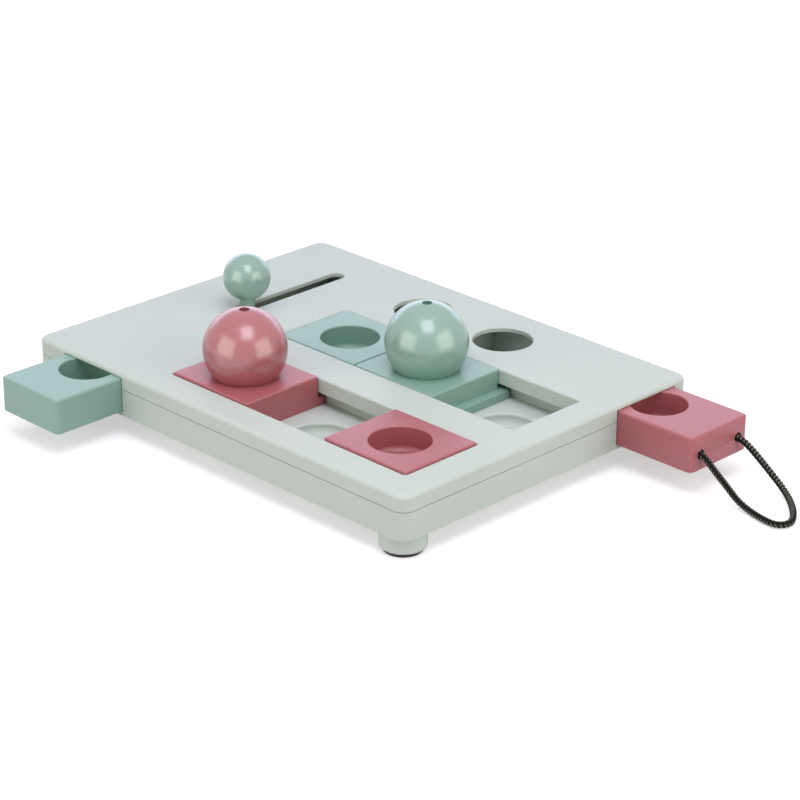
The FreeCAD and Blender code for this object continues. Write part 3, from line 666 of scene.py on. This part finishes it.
def braid_mesh(points, cord):
    """Flat strands that wind both ways round a core, along a line.

    Each strand rises for two crossings and sinks for two. At half of all crossings one strand lies
    above and is pressed into the other by a third to a half of its thickness. At the other half
    both are at the same height and run through each other, unlike those of a real braid.
    """
    line = resample(points, cord.lay / (2 * cord.carriers) / RINGS_PER_CROSSING)
    spacing = (line[1] - line[0]).length
    frames = frames_along(line)
    lift = cord.strand_depth * STRAND_LIFT
    middle = cord.width / 2 - cord.strand_depth / 2 - lift
    work = bmesh.new()
    work.verts.layers.float.new("crown")
    for way in (1, -1):
        for strand in range(cord.carriers):
            centres, ups, crowns = [], [], []
            for i, (centre, (side, other)) in enumerate(zip(line, frames)):
                turn = i * spacing / cord.lay
                angle = 2 * math.pi * (strand / cord.carriers + way * turn)
                crossing = 2 * cord.carriers * turn
                phase = math.pi / 2 * (crossing + (2 * strand * way) - 0.5)
                swing = way * math.cos(phase)
                wave = max(-1, min(1, STRAND_PRESS * swing))
                out = side * math.cos(angle) + other * math.sin(angle)
                centres.append(centre + out * (middle + lift * wave))
                ups.append(out)
                crowns.append(max(0, swing))
            add_tube(work, centres, ups, cord.strand, cord.strand_depth, STRAND_SIDES, crowns)
    core = middle - lift
    add_tube(work, line, [side for side, _ in frames], 2 * core, 2 * core, CORE_SIDES)
    mesh = bpy.data.meshes.new("braid")
    work.to_mesh(mesh)
    work.free()
    mesh.shade_smooth()
    return mesh


class FEEDER_OT_make_cord(bpy.types.Operator):
    """The braided pull cord and its two stopper knots"""

    bl_idname = "feeder.make_cord"
    bl_label = "Make cord"

    def execute(self, context):
        cord = context.scene.feeder_cord
        points = route_points()
        braid = new_piece("cord_braid", braid_mesh(points, cord), "pull_drawer", "black_cord", "pull_cord")
        knots = keep("cord_knots", "black_cord")
        return {"FINISHED"}


# Stage

# The camera looks at AIM, moved along the picture's own directions.
AIM = Vector((-21.9, 19.3, 10.0)) * MM
AIM_RIGHT = 20.03 * MM
AIM_UP = -1.37 * MM
SENSOR_WIDTH = 36
NEAREST = 0.05
FARTHEST = 50

# Lamps point at LAMP_AIM. Sizes are width and height in metres.
LAMP_AIM = Vector((0, 0, 0.03))
LAMP_REACH = 0.9
SIDE_ACROSS = math.radians(52)
SIDE_ABOVE = math.radians(3)
SIDE_SIZE = (0.75, 0.70)
SIDE_COLOUR = (1.0, 0.98, 0.89)
TOP_ACROSS = math.radians(5)
TOP_ABOVE = math.radians(42)
TOP_SIZE = (0.46, 0.60)
TOP_COLOUR = (0.87, 0.88, 1.0)
CARD_REACH = 1.3
CARD_ABOVE = math.radians(14)
CARD_SIZE = (2.4, 0.55)
CARD_COLOUR = (0.64, 0.71, 1.0)
FILL_REACH = 1.2
FILL_SIZE = (1.6, 1.6)
FILL_COLOUR = (0.92, 0.86, 1.0)

ROOM_COLOUR = (1.0, 0.94, 0.95, 1)
FLOOR_REACH = 0.7
FLOOR_DROP = 0.02 * MM  # keeps the floor just clear of the foot pads
FLOOR_GLOW = 0.5
WHITE = (1, 1, 1, 1)


def look(stage):
    """The camera's directions right, up and back, with its roll."""
    a, e = stage.azimuth, stage.elevation
    back = Vector((math.sin(a) * math.cos(e), -math.cos(a) * math.cos(e), math.sin(e)))
    right = Vector((math.cos(a), math.sin(a), 0))
    up = back.cross(right)
    turned = right * math.cos(stage.roll) + up * math.sin(stage.roll)
    return turned, up * math.cos(stage.roll) - right * math.sin(stage.roll), back


def add_lamp(name, place, size, power, colour):
    """A soft lamp that points at LAMP_AIM, hidden from the camera but not from reflections."""
    data = bpy.data.lights.new(name, "AREA")
    data.shape = "RECTANGLE"
    data.size, data.size_y = size
    data.energy = power
    data.color = colour
    lamp = bpy.data.objects.new(name, data)
    lamp.location = place
    lamp.rotation_euler = (LAMP_AIM - place).to_track_quat("-Z", "Y").to_euler()
    lamp.visible_camera = False
    bpy.context.scene.collection.objects.link(lamp)
    return lamp


def add_softbox(name, directions, across, above, size, power, colour):
    """A lamp round the board, by its angles to the right of the lens and above it."""
    right, up, back = directions
    level = back * math.cos(across) + right * math.sin(across)
    way = level * math.cos(above) + up * math.sin(above)
    add_lamp(name, LAMP_AIM + way * LAMP_REACH, size, power, colour)


class FEEDER_OT_make_stage(bpy.types.Operator):
    """Camera, lamps, white surroundings and a pale floor"""

    bl_idname = "feeder.make_stage"
    bl_label = "Make stage"

    def execute(self, context):
        scene = context.scene
        stage = scene.feeder_stage
        directions = look(stage)
        self.make_camera(scene, stage, directions)
        self.make_lamps(stage, directions)
        self.make_surround(scene, stage)
        self.make_floor(stage)
        scene.view_settings.view_transform = "Standard"
        return {"FINISHED"}

    def make_camera(self, scene, stage, directions):
        """The camera that takes the photo's view."""
        right, up, back = directions
        target = AIM + right * AIM_RIGHT + up * AIM_UP
        lens = bpy.data.cameras.new("camera")
        lens.sensor_width = SENSOR_WIDTH
        lens.lens = stage.lens
        lens.clip_start = NEAREST
        lens.clip_end = FARTHEST
        camera = bpy.data.objects.new("camera", lens)
        turn = Matrix(directions).transposed()
        camera.matrix_world = Matrix.Translation(target + back * stage.distance) @ turn.to_4x4()
        scene.collection.objects.link(camera)
        scene.camera = camera

    def make_lamps(self, stage, directions):
        """Softboxes beside the camera and above it, a card behind the board and a panel over it."""
        for name, across in (("left_softbox", -SIDE_ACROSS), ("right_softbox", SIDE_ACROSS)):
            add_softbox(name, directions, across, SIDE_ABOVE, SIDE_SIZE, stage.side_lamps, SIDE_COLOUR)
        add_softbox("top_softbox", directions, TOP_ACROSS, TOP_ABOVE, TOP_SIZE, stage.top_lamp, TOP_COLOUR)
        back = directions[2]
        level = Vector((-back.x, -back.y, 0)).normalized()
        way = level * math.cos(CARD_ABOVE) + Vector((0, 0, math.sin(CARD_ABOVE)))
        add_lamp("rear_card", LAMP_AIM + way * CARD_REACH, CARD_SIZE, stage.rear_card, CARD_COLOUR)
        above = LAMP_AIM + Vector((0, 0, FILL_REACH))
        fill = add_lamp("fill_panel", above, FILL_SIZE, stage.fill, FILL_COLOUR)
        fill.visible_glossy = False  # the balls in the photo show no such reflection

    def make_surround(self, scene, stage):
        """White where it is seen, also in a mirror or through glass, and dim as light."""
        scene.world = bpy.data.worlds.new("white_room")
        room = Finish(scene.world)
        seen = room.node("ShaderNodeLightPath", output="Is Camera Ray")
        seen = seen + room.node("ShaderNodeLightPath", output="Is Glossy Ray")
        seen = seen + room.node("ShaderNodeLightPath", output="Is Transmission Ray")
        white = room.node("ShaderNodeBackground", None, {"Color": WHITE, "Strength": 1.0})
        dim = room.node("ShaderNodeBackground", None, {"Color": ROOM_COLOUR, "Strength": stage.surround})
        mixed = room.node("ShaderNodeMixShader", None, {0: seen, 1: dim, 2: white})
        room.node("ShaderNodeOutputWorld", None, {"Surface": mixed})

    def make_floor(self, stage):
        """A pale floor that also glows where it is seen, so that it blends into the surroundings."""
        work = bmesh.new()
        bmesh.ops.create_grid(work, x_segments=1, y_segments=1, size=FLOOR_REACH)
        mesh = bpy.data.meshes.new("floor")
        work.to_mesh(mesh)
        work.free()
        floor = bpy.data.objects.new("floor", mesh)
        floor.location = (0, 0, -FLOOR_DROP)
        bpy.context.scene.collection.objects.link(floor)
        finish = new_finish("pale_floor")
        seen = finish.node("ShaderNodeLightPath", output="Is Camera Ray")
        seen = seen + finish.node("ShaderNodeLightPath", output="Is Glossy Ray")
        paper = finish.node("ShaderNodeBsdfDiffuse", None, {"Color": (*stage.floor, 1)})
        glow = finish.node("ShaderNodeEmission", None, {"Color": WHITE, "Strength": seen * FLOOR_GLOW})
        both = finish.node("ShaderNodeAddShader", None, {0: paper, 1: glow})
        finish.node("ShaderNodeOutputMaterial", None, {"Surface": both})
        mesh.materials.append(finish.owner)


class FEEDER_PT_panel(bpy.types.Panel):
    """Buttons for the feeder's pieces, in the order they are made, and their settings"""

    bl_label = "Cat puzzle feeder"
    bl_space_type = "VIEW_3D"
    bl_region_type = "UI"
    bl_category = "Feeder"

    def draw(self, context):
        for step in STEPS:
            self.layout.operator(step.bl_idname)
        for group in ("feeder_colours", "feeder_surface", "feeder_cord", "feeder_stage"):
            settings = getattr(context.scene, group)
            box = self.layout.box()
            for name in settings.__annotations__:
                box.prop(settings, name)


STEPS = (
    FEEDER_OT_make_cord,
    FEEDER_OT_make_housing,
    FEEDER_OT_make_feet,
    FEEDER_OT_make_sliders,
    FEEDER_OT_make_grips,
    FEEDER_OT_make_drawers,
    FEEDER_OT_make_knob,
    FEEDER_OT_make_stage,
)
GROUPS = {
    "feeder_colours": FeederColours,
    "feeder_surface": FeederSurface,
    "feeder_cord": FeederCord,
    "feeder_stage": FeederStage,
}


def register():
    for group in GROUPS.values():
        bpy.utils.register_class(group)
    for name, group in GROUPS.items():
        setattr(bpy.types.Scene, name, PointerProperty(type=group))
    for step in STEPS:
        bpy.utils.register_class(step)
    bpy.utils.register_class(FEEDER_PT_panel)


def unregister():
    bpy.utils.unregister_class(FEEDER_PT_panel)
    for step in reversed(STEPS):
        bpy.utils.unregister_class(step)
    for name, group in GROUPS.items():
        delattr(bpy.types.Scene, name)
        bpy.utils.unregister_class(group)


def main():
    """Build the whole scene."""
    register()
    make_finishes()
    bpy.ops.feeder.make_cord()
    bpy.ops.feeder.make_housing()
    bpy.ops.feeder.make_feet()
    bpy.ops.feeder.make_sliders()
    bpy.ops.feeder.make_grips()
    bpy.ops.feeder.make_drawers()
    bpy.ops.feeder.make_knob()
    bpy.ops.feeder.make_stage()


if __name__ == "__main__":
    main()
